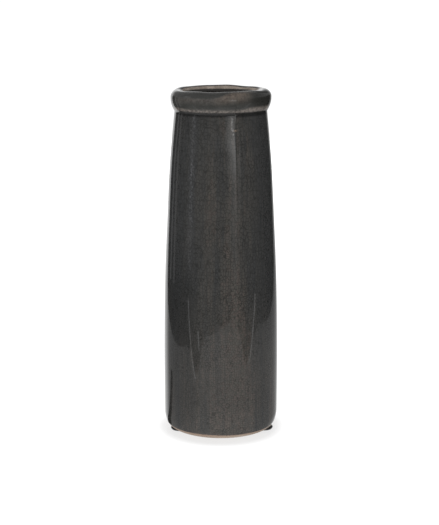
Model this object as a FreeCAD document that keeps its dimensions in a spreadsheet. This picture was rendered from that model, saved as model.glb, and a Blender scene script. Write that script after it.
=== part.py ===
"""Tall stoneware vase: fired clay body, outer glaze, inner glaze, and three stick-on foot pads.

Millimetres, +Z up. The origin is on the vase's axis, in the plane that the pads stand on.
The clay and both glazes are revolved about Z from one family of curves. The clay's curves are the
glazed surfaces' curves moved into the wall by the thickness of the glaze, so the layers meet face to face.
"""
import FreeCAD, Part
import math
import os

import Sketcher

DIMENSIONS = [
    # alias, value, what it is
    ("overall_height", 380.0, "pads' underside to the crest of the lip"),
    ("foot_height", 4.0, "height of the clay foot above the ground: one pad with its adhesive"),
    ("belly_radius", 63.1, "largest radius, at the straight part of the wall"),
    ("straight_low", 20.0, "height where the rounded heel ends"),
    ("straight_top", 68.0, "height where the wall starts to lean in"),
    ("wall_sweep", 3200.0, "radius of the wall's slow inward curve"),
    ("heel_round", 30.0, "radius of the heel above the foot"),
    ("foot_round", 5.0, "radius of the clay edge between heel and foot"),
    ("recess_radius", 37.5, "inner radius of the flat foot ring"),
    ("recess_depth", 1.5, "depth of the hollow inside the foot ring"),
    ("recess_bevel", 1.5, "width of the slope from foot ring to hollow"),
    ("neck_cove", 3.5, "radius of the crease under the lip"),
    ("lip_radius", 54.2, "outer radius of the rolled lip"),
    ("lip_under_round", 25.0, "radius of the lip's underside"),
    ("lip_face_low", 370.5, "height where the lip's underside turns vertical"),
    ("lip_top_round", 8.0, "radius from the lip's face to its crest"),
    ("mouth_radius", 39.7, "radius of the mouth, the narrowest place inside"),
    ("throat_round", 14.0, "radius of the lip's inner face below the mouth"),
    ("throat_cove", 20.0, "radius where the throat runs into the inner wall"),
    ("wall_thickness", 7.0, "outer glazed face to inner glazed face"),
    ("floor_thickness", 8.5, "foot ring to inner glazed floor"),
    ("floor_corner", 18.0, "radius between inner wall and floor"),
    ("glaze_thickness", 0.4, "thickness of each coat of glaze"),
    ("glaze_line", 8.0, "height where the outer glaze stops above the bare foot"),
    ("pad_radius", 9.0, "radius of a foot pad"),
    ("pad_edge", 0.8, "rounding of a pad's lower edge"),
    ("adhesive_radius", 8.7, "radius of the adhesive disc"),
    ("adhesive_thickness", 0.3, "thickness of the adhesive disc"),
    ("right_pad_reach", 50.0, "distance from the axis to the right pad"),
    ("right_pad_turn", -13.0, "direction of the right pad, degrees from +X"),
    ("left_pad_reach", 47.8, "distance from the axis to the left pad"),
    ("left_pad_turn", 196.0, "direction of the left pad"),
    ("back_pad_reach", 48.5, "distance from the axis to the back pad"),
    ("back_pad_turn", 91.0, "direction of the back pad"),
]
NO_INSET = "0"
GLAZE_INSET = "Dims.glaze_thickness"
SIDE_NAMES = ("right", "left", "back")
QUARTER = math.pi / 2
MIN_VOLUME = 1.0

size = {alias: value for alias, value, _ in DIMENSIONS}
doc = FreeCAD.newDocument("stoneware_vase")


def make_sheet():
    """Put the driving dimensions in a spreadsheet, one aliased cell each."""
    sheet = doc.addObject("Spreadsheet::Sheet", "Dims")
    for row, (alias, value, meaning) in enumerate(DIMENSIONS, start=1):
        sheet.set(f"A{row}", meaning)
        sheet.set(f"B{row}", str(value))
        sheet.setAlias(f"B{row}", alias)
    doc.recompute()
    return sheet


def origin_plane(body, role):
    """Return one of the body's own origin planes."""
    return next(item for item in body.Origin.OriginFeatures if item.Role == role)


def toward(start, end):
    """Angle of the direction from one point to another."""
    return math.atan2(end[1] - start[1], end[0] - start[0])


def circles_meet(centre_a, reach_a, centre_b, reach_b):
    """Outer one of the two points at the given distances from two centres."""
    gap = math.dist(centre_a, centre_b)
    along = (gap**2 + reach_a**2 - reach_b**2) / (2 * gap)
    across = math.sqrt(reach_a**2 - along**2)
    turn = toward(centre_a, centre_b)
    points = []
    for side in (across, -across):
        x = centre_a[0] + along * math.cos(turn) - side * math.sin(turn)
        y = centre_a[1] + along * math.sin(turn) + side * math.cos(turn)
        points.append((x, y))
    return max(points)


class Outline:
    """A sketch in the body's XZ plane, with its lines and arcs tied to the sheet."""

    LOW, HIGH, CENTRE = 1, 2, 3
    ORIGIN = (-1, 1)
    AXIS = -2

    def __init__(self, body, name):
        self.sketch = body.newObject("Sketcher::SketchObject", name)
        self.sketch.AttachmentSupport = [(origin_plane(body, "XZ_Plane"), "")]
        self.sketch.MapMode = "FlatFace"

    def line(self, start, end):
        return self.sketch.addGeometry(Part.LineSegment(FreeCAD.Vector(*start), FreeCAD.Vector(*end)), False)

    def arc(self, centre, radius, first, last):
        circle = Part.Circle(FreeCAD.Vector(*centre), FreeCAD.Vector(0, 0, 1), radius)
        return self.sketch.addGeometry(Part.ArcOfCircle(circle, first, last), False)

    def rule(self, kind, *values):
        return self.sketch.addConstraint(Sketcher.Constraint(kind, *values))

    def bind(self, index, label, expression):
        """Name a dimension of the sketch and tie it to the sheet."""
        name = f"{label}_{index}"
        self.sketch.renameConstraint(index, name)
        self.sketch.setExpression(f"Constraints.{name}", expression)

    def place_x(self, item, point, expression):
        here = self.sketch.getPoint(item, point).x
        self.bind(self.rule("DistanceX", *self.ORIGIN, item, point, here), "across", expression)

    def place_y(self, item, point, expression):
        here = self.sketch.getPoint(item, point).y
        self.bind(self.rule("DistanceY", *self.ORIGIN, item, point, here), "height", expression)

    def radius(self, item, expression):
        here = self.sketch.Geometry[item].Radius
        self.bind(self.rule("Radius", item, here), "radius", expression)

    def smooth(self, item_a, point_a, item_b, point_b):
        self.rule("Tangent", item_a, point_a, item_b, point_b)

    def meet(self, item_a, point_a, item_b, point_b):
        self.rule("Coincident", item_a, point_a, item_b, point_b)

    def on_axis(self, item, point):
        self.rule("PointOnObject", item, point, self.AXIS)


def outer_side(outline, inset_name, inset):
    """Draw the vase's outside, heel to mouth, moved into the wall by the inset.

    Returns the heel arc and the arc that ends at the mouth. Their free ends are left for the caller.
    """
    belly = size["belly_radius"]
    heel_centre = (belly - size["heel_round"], size["straight_low"])
    wall_centre = (belly - size["wall_sweep"], size["straight_top"])
    under_centre = (size["lip_radius"] - size["lip_under_round"], size["lip_face_low"])
    crest_radius = size["lip_radius"] - size["lip_top_round"]
    top_centre = (crest_radius, size["overall_height"] - size["lip_top_round"])
    inner_round = crest_radius - size["mouth_radius"]
    inner_centre = (crest_radius, size["overall_height"] - inner_round)
    wall_reach = size["wall_sweep"] + size["neck_cove"]
    under_reach = size["lip_under_round"] + size["neck_cove"]
    cove_centre = circles_meet(wall_centre, wall_reach, under_centre, under_reach)
    wall_end = toward(wall_centre, cove_centre)
    under_start = toward(under_centre, cove_centre)

    heel = outline.arc(heel_centre, size["heel_round"] - inset, -QUARTER / 4, 0)
    straight = outline.line((belly - inset, size["straight_low"]), (belly - inset, size["straight_top"]))
    wall = outline.arc(wall_centre, size["wall_sweep"] - inset, 0, wall_end)
    cove_lip_turn = toward(cove_centre, under_centre) % math.tau
    cove_wall_turn = toward(cove_centre, wall_centre) % math.tau
    cove = outline.arc(cove_centre, size["neck_cove"] + inset, cove_lip_turn, cove_wall_turn)
    under = outline.arc(under_centre, size["lip_under_round"] - inset, under_start, 0)
    face_x = size["lip_radius"] - inset
    face = outline.line((face_x, under_centre[1]), (face_x, top_centre[1]))
    top = outline.arc(top_centre, size["lip_top_round"] - inset, 0, QUARTER)
    inner = outline.arc(inner_centre, inner_round - inset, QUARTER, math.pi)

    low, high, centre = outline.LOW, outline.HIGH, outline.CENTRE
    outline.smooth(heel, high, straight, low)
    outline.smooth(straight, high, wall, low)
    outline.smooth(wall, high, cove, high)
    outline.smooth(cove, low, under, low)
    outline.smooth(under, high, face, low)
    outline.smooth(face, high, top, low)
    outline.smooth(top, high, inner, low)
    outline.rule("Vertical", straight)
    outline.rule("Vertical", face)
    outline.rule("Vertical", top, centre, inner, centre)
    outline.rule("Horizontal", inner, centre, inner, high)
    outline.place_x(straight, low, f"Dims.belly_radius - {inset_name}")
    outline.place_x(face, low, f"Dims.lip_radius - {inset_name}")
    outline.place_x(inner, high, f"Dims.mouth_radius + {inset_name}")
    outline.place_y(heel, centre, "Dims.straight_low")
    outline.place_y(wall, centre, "Dims.straight_top")
    outline.place_y(under, centre, "Dims.lip_face_low")
    outline.place_y(top, centre, "Dims.overall_height - Dims.lip_top_round")
    outline.radius(heel, f"Dims.heel_round - {inset_name}")
    outline.radius(wall, f"Dims.wall_sweep - {inset_name}")
    outline.radius(cove, f"Dims.neck_cove + {inset_name}")
    outline.radius(under, f"Dims.lip_under_round - {inset_name}")
    outline.radius(top, f"Dims.lip_top_round - {inset_name}")
    return heel, inner


def cavity_side(outline, inset_name, inset):
    """Draw the vase's inside, mouth to the middle of the floor, moved into the wall by the inset.

    Returns the arc that starts at the mouth, and the floor line, which ends on the axis.
    """
    belly = size["belly_radius"]
    inner_belly = belly - size["wall_thickness"]
    inner_sweep = size["wall_sweep"] - size["wall_thickness"]
    inner_round = size["lip_radius"] - size["lip_top_round"] - size["mouth_radius"]
    mouth_height = size["overall_height"] - inner_round
    floor_height = size["foot_height"] + size["floor_thickness"]
    wall_centre = (belly - size["wall_sweep"], size["straight_top"])
    throat_centre = (size["mouth_radius"] + size["throat_round"], mouth_height)
    corner_centre = (inner_belly - size["floor_corner"], floor_height + size["floor_corner"])
    throat_reach = size["throat_round"] + size["throat_cove"]
    cove_reach = inner_sweep - size["throat_cove"]
    cove_centre = throat_cove_centre(wall_centre, cove_reach, throat_centre, throat_reach)
    throat_turn = toward(throat_centre, cove_centre) % math.tau
    wall_turn = toward(wall_centre, cove_centre)

    throat = outline.arc(throat_centre, size["throat_round"] - inset, math.pi, throat_turn)
    cove = outline.arc(cove_centre, size["throat_cove"] + inset, wall_turn, throat_turn - math.pi)
    wall = outline.arc(wall_centre, inner_sweep + inset, 0, wall_turn)
    wall_x = inner_belly + inset
    straight = outline.line((wall_x, corner_centre[1]), (wall_x, wall_centre[1]))
    corner = outline.arc(corner_centre, size["floor_corner"] + inset, 3 * QUARTER, 4 * QUARTER)
    floor_y = floor_height - inset
    floor = outline.line((0, floor_y), (corner_centre[0], floor_y))

    low, high, centre = outline.LOW, outline.HIGH, outline.CENTRE
    outline.smooth(throat, high, cove, high)
    outline.smooth(cove, low, wall, high)
    outline.smooth(wall, low, straight, high)
    outline.smooth(straight, low, corner, high)
    outline.smooth(corner, low, floor, high)
    outline.rule("Vertical", straight)
    outline.rule("Horizontal", floor)
    outline.on_axis(floor, low)
    outline.place_x(straight, low, f"Dims.belly_radius - Dims.wall_thickness + {inset_name}")
    outline.place_y(floor, low, f"Dims.foot_height + Dims.floor_thickness - {inset_name}")
    outline.place_y(wall, centre, "Dims.straight_top")
    outline.radius(throat, f"Dims.throat_round - {inset_name}")
    outline.radius(cove, f"Dims.throat_cove + {inset_name}")
    outline.radius(wall, f"Dims.wall_sweep - Dims.wall_thickness + {inset_name}")
    outline.radius(corner, f"Dims.floor_corner + {inset_name}")
    return throat, floor


def throat_cove_centre(wall_centre, wall_reach, throat_centre, throat_reach):
    """Centre of the hollow arc under the mouth: below the mouth, at both distances."""
    mirrored = circles_meet(wall_centre, wall_reach, throat_centre, throat_reach)
    axis_turn = toward(wall_centre, throat_centre)
    turn = 2 * axis_turn - toward(wall_centre, mirrored)
    other = (wall_centre[0] + wall_reach * math.cos(turn), wall_centre[1] + wall_reach * math.sin(turn))
    return min((mirrored, other), key=lambda point: point[1])


def revolve(body, outline, name):
    """Turn a closed outline once about the vase's axis."""
    turn = body.newObject("PartDesign::Revolution", name)
    turn.Profile = outline.sketch
    turn.ReferenceAxis = (outline.sketch, ["V_Axis"])
    turn.Angle = 360.0
    outline.sketch.Visibility = False
    return turn


def new_body(label):
    body = doc.addObject("PartDesign::Body", label)
    body.Label = label
    return body


def make_stoneware_body():
    """The fired clay: one solid with its foot ring, heel, wall, rolled lip and cavity."""
    body = new_body("stoneware_body")
    outline = Outline(body, "clay_outline")
    inset = size["glaze_thickness"]
    low, high = outline.LOW, outline.HIGH
    foot_y = size["foot_height"]
    hollow_y = foot_y + size["recess_depth"]
    hollow_x = size["recess_radius"] - size["recess_bevel"]
    foot_round = size["foot_round"]
    heel_centre = (size["belly_radius"] - size["heel_round"], size["straight_low"])
    heel_reach = size["heel_round"] - inset - foot_round
    foot_drop = heel_centre[1] - foot_y - foot_round
    foot_centre = (heel_centre[0] + math.sqrt(heel_reach**2 - foot_drop**2), foot_y + foot_round)
    foot_turn = toward(heel_centre, foot_centre)

    heel, mouth_arc = outer_side(outline, GLAZE_INSET, inset)
    throat, floor = cavity_side(outline, GLAZE_INSET, inset)
    foot_edge = outline.arc(foot_centre, foot_round, -QUARTER, foot_turn)
    ring = outline.line((size["recess_radius"], foot_y), (foot_centre[0], foot_y))
    bevel = outline.line((hollow_x, hollow_y), (size["recess_radius"], foot_y))
    hollow = outline.line((0, hollow_y), (hollow_x, hollow_y))
    middle = outline.line((0, hollow_y), (0, size["foot_height"] + size["floor_thickness"] - inset))

    outline.smooth(mouth_arc, high, throat, low)
    outline.smooth(foot_edge, high, heel, low)
    outline.smooth(ring, high, foot_edge, low)
    outline.meet(bevel, high, ring, low)
    outline.meet(hollow, high, bevel, low)
    outline.meet(middle, low, hollow, low)
    outline.meet(middle, high, floor, low)
    outline.rule("Horizontal", ring)
    outline.rule("Horizontal", hollow)
    outline.on_axis(hollow, low)
    outline.place_x(ring, low, "Dims.recess_radius")
    outline.place_y(ring, low, "Dims.foot_height")
    outline.place_x(hollow, high, "Dims.recess_radius - Dims.recess_bevel")
    outline.place_y(hollow, high, "Dims.foot_height + Dims.recess_depth")
    outline.radius(foot_edge, "Dims.foot_round")
    revolve(body, outline, "clay_turn")
    return body


def make_outer_glaze():
    """The outer coat: a closed shell from the glaze line, over the lip, to the mouth."""
    body = new_body("outer_glaze")
    outline = Outline(body, "outer_glaze_outline")
    low, high = outline.LOW, outline.HIGH
    heels = []
    mouths = []
    for inset_name, inset in ((NO_INSET, 0.0), (GLAZE_INSET, size["glaze_thickness"])):
        heel, mouth_arc = outer_side(outline, inset_name, inset)
        outline.place_y(heel, low, "Dims.glaze_line")
        heels.append(heel)
        mouths.append(mouth_arc)
    sketch = outline.sketch
    for items, end in ((heels, low), (mouths, high)):
        first, second = (sketch.getPoint(item, end) for item in items)
        edge = outline.line((first.x, first.y), (second.x, second.y))
        outline.meet(edge, low, items[0], end)
        outline.meet(edge, high, items[1], end)
    revolve(body, outline, "outer_glaze_turn")
    return body


def make_liner_glaze():
    """The inner coat: a closed shell from the mouth down the wall and across the floor."""
    body = new_body("liner_glaze")
    outline = Outline(body, "liner_outline")
    low, high = outline.LOW, outline.HIGH
    throats = []
    floors = []
    for inset_name, inset in ((NO_INSET, 0.0), (GLAZE_INSET, size["glaze_thickness"])):
        throat, floor = cavity_side(outline, inset_name, inset)
        outline.place_x(throat, low, f"Dims.mouth_radius + {inset_name}")
        outline.rule("Horizontal", throat, outline.CENTRE, throat, low)
        height = "Dims.overall_height - Dims.lip_radius + Dims.lip_top_round + Dims.mouth_radius"
        outline.place_y(throat, outline.CENTRE, height)
        throats.append(throat)
        floors.append(floor)
    sketch = outline.sketch
    for items in (throats, floors):
        first, second = (sketch.getPoint(item, low) for item in items)
        edge = outline.line((first.x, first.y), (second.x, second.y))
        outline.meet(edge, low, items[0], low)
        outline.meet(edge, high, items[1], low)
    revolve(body, outline, "liner_turn")
    return body


def disc_sketch(body, name, radius_name):
    """A circle about the body's own origin, in its XY plane."""
    sketch = body.newObject("Sketcher::SketchObject", name)
    sketch.AttachmentSupport = [(origin_plane(body, "XY_Plane"), "")]
    sketch.MapMode = "FlatFace"
    circle = Part.Circle(FreeCAD.Vector(0, 0, 0), FreeCAD.Vector(0, 0, 1), size[radius_name])
    item = sketch.addGeometry(circle, False)
    sketch.addConstraint(Sketcher.Constraint("Coincident", item, 3, -1, 1))
    index = sketch.addConstraint(Sketcher.Constraint("Radius", item, size[radius_name]))
    sketch.renameConstraint(index, "disc_radius")
    sketch.setExpression("Constraints.disc_radius", f"Dims.{radius_name}")
    return sketch


def disc(body, name, radius_name, thickness):
    """Pad the disc's circle upwards by a thickness from the sheet."""
    sketch = disc_sketch(body, f"{name}_circle", radius_name)
    pad = body.newObject("PartDesign::Pad", f"{name}_disc")
    pad.Profile = sketch
    pad.setExpression("Length", thickness)
    doc.recompute()
    return pad


def stand_at(body, side, height):
    """Place a body under the foot on one side, at a height from the sheet."""
    body.setExpression("Placement.Base.x", f"Dims.{side}_pad_reach * cos(Dims.{side}_pad_turn)")
    body.setExpression("Placement.Base.y", f"Dims.{side}_pad_reach * sin(Dims.{side}_pad_turn)")
    body.setExpression("Placement.Base.z", height)


def make_foot_pad(side):
    """A round rubber bumper with a softened lower edge."""
    body = new_body(f"foot_pad_{side}")
    pad = disc(body, f"foot_pad_{side}", "pad_radius", "Dims.foot_height - Dims.adhesive_thickness")
    lower = [f"Edge{i}" for i, edge in enumerate(pad.Shape.Edges, start=1)
             if edge.BoundBox.ZMax < size["pad_edge"]]
    rounding = body.newObject("PartDesign::Fillet", f"foot_pad_{side}_edge")
    rounding.Base = (pad, lower)
    rounding.setExpression("Radius", "Dims.pad_edge")
    stand_at(body, side, "0")
    return body


def make_adhesive(side):
    """The thin self-adhesive disc between a pad and the clay."""
    body = new_body(f"pad_adhesive_{side}")
    disc(body, f"pad_adhesive_{side}", "adhesive_radius", "Dims.adhesive_thickness")
    stand_at(body, side, "Dims.foot_height - Dims.adhesive_thickness")
    return body


def check(bodies):
    """Stop if any object failed or any sub-part isn't one valid solid."""
    for item in doc.Objects:
        if "Invalid" in item.State or "Error" in item.State:
            raise RuntimeError(f"{item.Label} failed: {item.State}")
    for item in doc.findObjects("Sketcher::SketchObject"):
        if item.FullyConstrained is False:
            raise RuntimeError(f"{item.Label} has loose geometry")
    for body in bodies:
        shape = body.Shape
        if shape.isNull() or not shape.isValid() or len(shape.Solids) != 1:
            raise RuntimeError(f"{body.Label} isn't one valid solid")
        if shape.Volume < MIN_VOLUME:
            raise RuntimeError(f"{body.Label} is empty")


def main():
    make_sheet()
    bodies = [make_stoneware_body(), make_outer_glaze(), make_liner_glaze()]
    bodies += [make_foot_pad(side) for side in SIDE_NAMES]
    bodies += [make_adhesive(side) for side in SIDE_NAMES]
    doc.recompute()
    check(bodies)
    os.makedirs("parts", exist_ok=True)
    for body in bodies:
        body.Shape.exportStep(f"parts/{body.Label}.step")
        box = body.Shape.optimalBoundingBox(True, False)
        extent = f"{box.XLength:.2f} x {box.YLength:.2f} x {box.ZLength:.2f}"
        print(f"{body.Label}: {extent} mm, z {box.ZMin:.2f} to {box.ZMax:.2f}, {body.Shape.Volume:.1f} mm3")


main()
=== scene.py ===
"""Looks of the stoneware vase: crackle glaze, brown liner, bare clay foot, rubber pads and adhesive.

Metres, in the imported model's frame: +Z up, the vase's axis on Z, the shown side towards -Y.
"""
import math

import bpy
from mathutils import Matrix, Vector, noise


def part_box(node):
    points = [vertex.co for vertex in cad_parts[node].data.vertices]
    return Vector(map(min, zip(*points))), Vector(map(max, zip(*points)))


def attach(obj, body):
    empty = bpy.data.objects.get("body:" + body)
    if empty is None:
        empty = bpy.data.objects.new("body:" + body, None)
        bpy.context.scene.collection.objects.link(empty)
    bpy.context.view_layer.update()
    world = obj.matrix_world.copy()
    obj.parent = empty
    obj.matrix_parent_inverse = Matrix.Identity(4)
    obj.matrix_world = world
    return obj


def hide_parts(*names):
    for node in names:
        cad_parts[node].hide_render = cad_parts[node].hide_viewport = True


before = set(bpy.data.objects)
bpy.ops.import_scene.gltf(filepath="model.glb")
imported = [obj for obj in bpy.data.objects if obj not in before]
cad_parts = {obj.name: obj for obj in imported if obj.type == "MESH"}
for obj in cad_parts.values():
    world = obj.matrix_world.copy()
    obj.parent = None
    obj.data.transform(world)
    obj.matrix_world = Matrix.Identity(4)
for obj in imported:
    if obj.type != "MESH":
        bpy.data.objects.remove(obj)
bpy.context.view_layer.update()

MM = 0.001
BODY = "root"
SIDES = ("right", "left", "back")

# --- Sizes: the outer ones come from the frame, the radii repeat the model's own ---
glaze_low, glaze_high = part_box("outer_glaze")
clay_low, clay_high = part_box("stoneware_body")
BELLY = glaze_high[0]
TOP = glaze_high[2]
GLAZE_LINE = glaze_low[2]
FOOT = clay_low[2]
COAT = TOP - clay_high[2]
STRAIGHT_LOW = 20 * MM
STRAIGHT_TOP = 68 * MM
WALL_SWEEP = 3200 * MM
HEEL_ROUND = 30 * MM
FOOT_ROUND = 5 * MM
RECESS_RADIUS = 37.5 * MM
RECESS_DEPTH = 1.5 * MM
NECK_COVE = 3.5 * MM
LIP_RADIUS = 54.2 * MM
LIP_UNDER_ROUND = 25 * MM
LIP_FACE_LOW = 370.5 * MM
LIP_TOP_ROUND = 8 * MM
MOUTH_RADIUS = 39.7 * MM
THROAT_ROUND = 14 * MM
THROAT_COVE = 20 * MM
WALL = 7 * MM
FLOOR_THICKNESS = 8.5 * MM
FLOOR_CORNER = 18 * MM
CREST_RADIUS = LIP_RADIUS - LIP_TOP_ROUND
INNER_ROUND = CREST_RADIUS - MOUTH_RADIUS
WALL_CENTRE = (BELLY - WALL_SWEEP, STRAIGHT_TOP)
HEEL_CENTRE = (BELLY - HEEL_ROUND, STRAIGHT_LOW)
UNDER_CENTRE = (LIP_RADIUS - LIP_UNDER_ROUND, LIP_FACE_LOW)
FRONT = math.radians(-90)
SEAM_TURN = math.radians(-73.2)
PITTED_TURN = math.radians(-123.4)
SEAMS = ((SEAM_TURN, 1.0), (SEAM_TURN + math.pi, 0.8))  # direction and strength of each joint line
LOW_LIP_TURN = math.radians(-155)

# Rows of faces up the wall: more where it shows, fewer where another layer covers it.
SHOWN_ROWS = 120
HIDDEN_ROWS = 54
INSIDE_ROWS = 100


# --- Curves of revolution ---
def toward(start, end):
    return math.atan2(end[1] - start[1], end[0] - start[0])


def arc(centre, radius, first, last, count):
    """Points of an arc, both ends included."""
    points = []
    for step in range(count + 1):
        turn = first + (last - first) * step / count
        points.append((centre[0] + radius * math.cos(turn), centre[1] + radius * math.sin(turn)))
    return points


def run(start, end, count):
    """Points of a straight run, both ends included."""
    return [(start[0] + (end[0] - start[0]) * step / count, start[1] + (end[1] - start[1]) * step / count)
            for step in range(count + 1)]


def chain(*stretches):
    """Join stretches end to end, dropping the repeated joint points."""
    points = list(stretches[0])
    for stretch in stretches[1:]:
        points.extend(stretch[1:])
    return points


def circles_meet(centre_a, reach_a, centre_b, reach_b):
    """Both points at the given distances from two centres."""
    gap = math.dist(centre_a, centre_b)
    along = (gap**2 + reach_a**2 - reach_b**2) / (2 * gap)
    across = math.sqrt(reach_a**2 - along**2)
    turn = toward(centre_a, centre_b)
    return [(centre_a[0] + along * math.cos(turn) - side * math.sin(turn),
             centre_a[1] + along * math.sin(turn) + side * math.cos(turn)) for side in (across, -across)]


def heel_radius(height, inset):
    """Radius of the heel at a height."""
    return HEEL_CENTRE[0] + math.sqrt((HEEL_ROUND - inset)**2 - (HEEL_CENTRE[1] - height)**2)


def upper_outside(inset, wall_rows):
    """The outside from the end of the heel, over the lip, to the mouth, set in by a thickness."""
    cove_centre = max(circles_meet(WALL_CENTRE, WALL_SWEEP + NECK_COVE,
                                   UNDER_CENTRE, LIP_UNDER_ROUND + NECK_COVE))
    wall_end = toward(WALL_CENTRE, cove_centre)
    wall_turn = toward(cove_centre, WALL_CENTRE) % math.tau
    lip_turn = toward(cove_centre, UNDER_CENTRE) % math.tau
    top_centre = (CREST_RADIUS, TOP - LIP_TOP_ROUND)
    inner_centre = (CREST_RADIUS, TOP - INNER_ROUND)
    face = LIP_RADIUS - inset
    return chain(
        run((BELLY - inset, STRAIGHT_LOW), (BELLY - inset, STRAIGHT_TOP), wall_rows // 6),
        arc(WALL_CENTRE, WALL_SWEEP - inset, 0, wall_end, wall_rows),
        arc(cove_centre, NECK_COVE + inset, wall_turn, lip_turn, 6),
        arc(UNDER_CENTRE, LIP_UNDER_ROUND - inset, toward(UNDER_CENTRE, cove_centre), 0, 14),
        run((face, LIP_FACE_LOW), (face, top_centre[1]), 2),
        arc(top_centre, LIP_TOP_ROUND - inset, 0, math.pi / 2, 14),
        arc(inner_centre, INNER_ROUND - inset, math.pi / 2, math.pi, 12),
    )


def cavity(inset):
    """The inside from the mouth to the middle of the floor."""
    sweep = WALL_SWEEP - WALL
    floor = FOOT + FLOOR_THICKNESS
    throat_centre = (MOUTH_RADIUS + THROAT_ROUND, TOP - INNER_ROUND)
    corner_centre = (BELLY - WALL - FLOOR_CORNER, floor + FLOOR_CORNER)
    meetings = circles_meet(WALL_CENTRE, sweep - THROAT_COVE, throat_centre, THROAT_ROUND + THROAT_COVE)
    cove_centre = min(meetings, key=lambda point: point[1])
    throat_turn = toward(throat_centre, cove_centre) % math.tau
    wall_turn = toward(WALL_CENTRE, cove_centre)
    inner = BELLY - WALL + inset
    return chain(
        arc(throat_centre, THROAT_ROUND - inset, math.pi, throat_turn, 8),
        arc(cove_centre, THROAT_COVE + inset, throat_turn - math.pi, wall_turn, 6),
        arc(WALL_CENTRE, sweep + inset, wall_turn, 0, INSIDE_ROWS),
        run((inner, STRAIGHT_TOP), (inner, corner_centre[1]), 14),
        arc(corner_centre, FLOOR_CORNER + inset, 0, -math.pi / 2, 14),
        run((corner_centre[0], floor - inset), (0, floor - inset), 16),
    )


# --- Hand-made unevenness, shared by every layer so that they stay face to face ---
def bell(value, middle, width):
    return math.exp(-((value - middle) / width)**2)


def turn_gap(turn, other):
    """Signed angle from one direction to another, within half a turn."""
    return (turn - other + math.pi) % math.tau - math.pi


def smooth_step(low, high, value):
    t = min(1.0, max(0.0, (value - low) / (high - low)))
    return t * t * (3 - 2 * t)


def column_turns():
    """Turns of the lathe's columns: evenly spaced, and closer beside the two joint lines."""
    even_step = 1.5
    close_step = 0.4
    smallest_gap = 0.3
    beside_seam = math.radians(8)
    turns = []
    turn = 0.0
    while turn < 360 - smallest_gap:
        turns.append(math.radians(turn))
        near = min(abs(turn_gap(turns[-1], seam)) for seam, _ in SEAMS) < beside_seam
        turn += close_step if near else even_step
    return turns


TURNS = column_turns()


def outside_wave(turn, height):
    """How far the hand-made wall stands out from its ideal surface: a sum of soft swells."""
    oval = 0.16 * math.sin(2 * turn + 0.7 + 9 * height)
    lobes = 0.10 * math.sin(3 * turn - 14 * height + 1.1)
    shoulder = 0.75 * bell(height, 305 * MM, 46 * MM)
    right_swell = 0.30 * bell(height, 110 * MM, 80 * MM) * (0.5 + 0.5 * math.cos(turn))
    dents = 0.16 * noise.noise(Vector((math.cos(turn) * 2.2, math.sin(turn) * 2.2, height * 14)))
    on_lip = smooth_step(358 * MM, 376 * MM, height)
    lip_lobes = 0.30 + 0.22 * math.sin(5 * turn + 0.4) + 0.16 * math.sin(9 * turn + 2.0)
    stands_out = oval + lobes + shoulder + right_swell + dents + on_lip * lip_lobes
    return stands_out * MM * smooth_step(FOOT, 24 * MM, height)


def seam_ridge(turn, height):
    """The two joint lines left by the mould: a soft rise on one side and a quick fall on the other."""
    strongest = 0.35 + 0.65 * smooth_step(190 * MM, 350 * MM, height)
    below_neck = 1 - 0.8 * smooth_step(333 * MM, 343 * MM, height)
    below_lip = 1 - smooth_step(353 * MM, 361 * MM, height)
    rise = 0.0
    for seam, strength in SEAMS:
        gap = turn_gap(turn, seam) * BELLY / MM
        ridge = bell(gap, 0, 5.5 if gap < 0 else 1.1)
        second_ridge = bell(gap, 6.3, 1.2)
        rise += strength * strongest * below_neck * below_lip * (0.17 * ridge + 0.07 * second_ridge)
    return rise * MM


def lip_lift(turn, height):
    """The mould halves meet a little out of step: the lip's lower edge steps up beyond the seam.

    The top of the lip isn't quite level either: it dips at the left and rises a little past the seam.
    """
    gap = turn_gap(turn, SEAM_TURN)
    beyond = smooth_step(0.0, 0.020, gap) * (1 - smooth_step(0.5, 1.5, gap))
    low_lip = smooth_step(349 * MM, 356 * MM, height) * (1 - smooth_step(364 * MM, 373 * MM, height))
    high_lip = smooth_step(366 * MM, 379 * MM, height)
    sway = 0.4 * bell(gap, 0.2, 0.45) - 0.9 * bell(turn_gap(turn, LOW_LIP_TURN), 0, 0.65)
    return (1.9 * beyond * low_lip + sway * high_lip) * MM


def inside_wave(turn, height):
    """Throwing rings of the inner wall: shallow, slightly spiral ridges between the floor and the throat."""
    ring = math.sin(math.tau * height / (9.5 * MM) + turn)
    ring += 0.4 * math.sin(math.tau * height / (14 * MM) - turn + 1.0)
    on_wall = smooth_step(26 * MM, 60 * MM, height) * (1 - smooth_step(335 * MM, 362 * MM, height))
    return 0.14 * MM * ring * on_wall


def line_height(turn):
    """Height of the outer glaze's lower edge: a little higher at the front, never quite level."""
    wave = 0.55 * math.cos(turn - FRONT) + 0.22 * math.sin(3 * turn + 0.5) + 0.14 * math.sin(7 * turn + 1.9)
    wave += 0.18 * noise.noise(Vector((math.cos(turn) * 9, math.sin(turn) * 9, 3.0)))
    return GLAZE_LINE + wave * MM


# --- Meshes ---
def make_mesh(name, verts, faces):
    mesh = bpy.data.meshes.new(name)
    mesh.from_pydata(verts, [], faces)
    mesh.validate()
    mesh.polygons.foreach_set("use_smooth", [True] * len(mesh.polygons))
    mesh.update()
    piece = bpy.data.objects.new(name, mesh)
    bpy.context.scene.collection.objects.link(piece)
    return piece


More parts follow.
